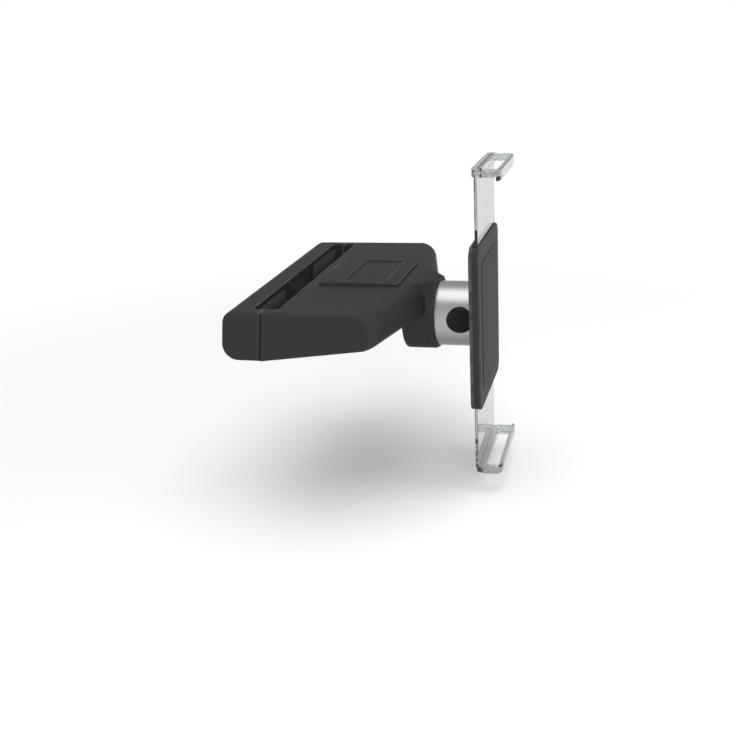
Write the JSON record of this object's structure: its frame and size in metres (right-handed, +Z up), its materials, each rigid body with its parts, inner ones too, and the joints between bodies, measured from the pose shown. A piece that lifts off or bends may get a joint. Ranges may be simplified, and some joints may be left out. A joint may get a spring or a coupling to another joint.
{
  "type": "headrest tablet mount",
  "caption": "Mount that clamps across the headrest posts of a car seat and holds a tablet behind it in clear sliding clips on a turning aluminium ring.",
  "frame": {"origin": "midpoint between the two headrest posts, at half the thickness of the clamp body", "axes": "+X along the line between the posts, to the right as the rear passenger sees it; +Y towards the front of the car; +Z up"},
  "size_m": [0.178, 0.1597, 0.1951],
  "materials": {
    "moulded_plastic": "fine satin grain",
    "inner_plastic": "matt",
    "soft_rubber": "soft matt",
    "steel": "plated",
    "satin_aluminium": "satin anodised",
    "clear_plastic": "clear, polished"
  },
  "bodies": {
    "clamp_base": {"body_housing": "moulded_plastic", "base_cover": "moulded_plastic", "cover_screws": "steel", "body_pad_left": "soft_rubber", "body_pad_right": "soft_rubber", "lever_pin": "steel", "brake_shoe": "soft_rubber", "ring_sleeve": "satin_aluminium", "ring_core": "inner_plastic", "ring_bolt": "steel", "latch_cover": "inner_plastic", "latch_screws": "steel", "latch_spring": "steel"},
    "jaw": {"front_jaw": "moulded_plastic", "jaw_pad_left": "soft_rubber", "jaw_pad_right": "soft_rubber", "draw_bar": "steel", "bar_screw": "steel", "guide_rod_left": "steel", "guide_rod_right": "steel"},
    "lever": {"clamp_lever": "moulded_plastic"},
    "release": {"release_button": "moulded_plastic", "latch_plate": "steel"},
    "holder": {"holder_back": "moulded_plastic", "holder_front": "moulded_plastic", "holder_screws": "steel", "rest_pad": "soft_rubber", "pinion_axle": "steel", "friction_washer": "soft_rubber"},
    "gear": {"pinion": "inner_plastic"},
    "upper_clip": {"upper_arm": "clear_plastic"},
    "lower_clip": {"lower_arm": "clear_plastic"}
  },
  "joints": [
    {"name": "jaw_slide", "type": "slide", "parent": "clamp_base", "child": "jaw", "axis": [0, 1, 0], "range_m": [0, 0.012]},
    {"name": "lever_lift", "type": "hinge", "parent": "clamp_base", "child": "lever", "pos_m": [0, -0.022, 0.0099], "axis": [-1, 0, 0], "range_deg": [0, 60]},
    {"name": "button_press", "type": "slide", "parent": "clamp_base", "child": "release", "axis": [1, 0, 0], "range_m": [0, 0.002], "stiffness_N_per_m": 1500, "springref_m": -0.001, "deforming": ["latch_spring"]},
    {"name": "holder_spin", "type": "hinge", "parent": "clamp_base", "child": "holder", "pos_m": [0, -0.1153, -0.01], "axis": [0, 1, 0], "continuous": true},
    {"name": "upper_arm_slide", "type": "slide", "parent": "holder", "child": "upper_clip", "axis": [0, 0, 1], "range_m": [-0.028, 0.012]},
    {"name": "lower_arm_slide", "type": "slide", "parent": "holder", "child": "lower_clip", "axis": [0, 0, -1], "range_m": [-0.028, 0.012]},
    {"name": "pinion_spin", "type": "hinge", "parent": "holder", "child": "gear", "pos_m": [0, -0.1185, -0.01], "axis": [0, 1, 0], "range_deg": [-230, 99]}
  ],
  "couplings": [
    {"joint": "lower_arm_slide", "follows": "upper_arm_slide", "ratio": 1},
    {"joint": "pinion_spin", "follows": "upper_arm_slide", "rad_per_m": 142.86}
  ]
}
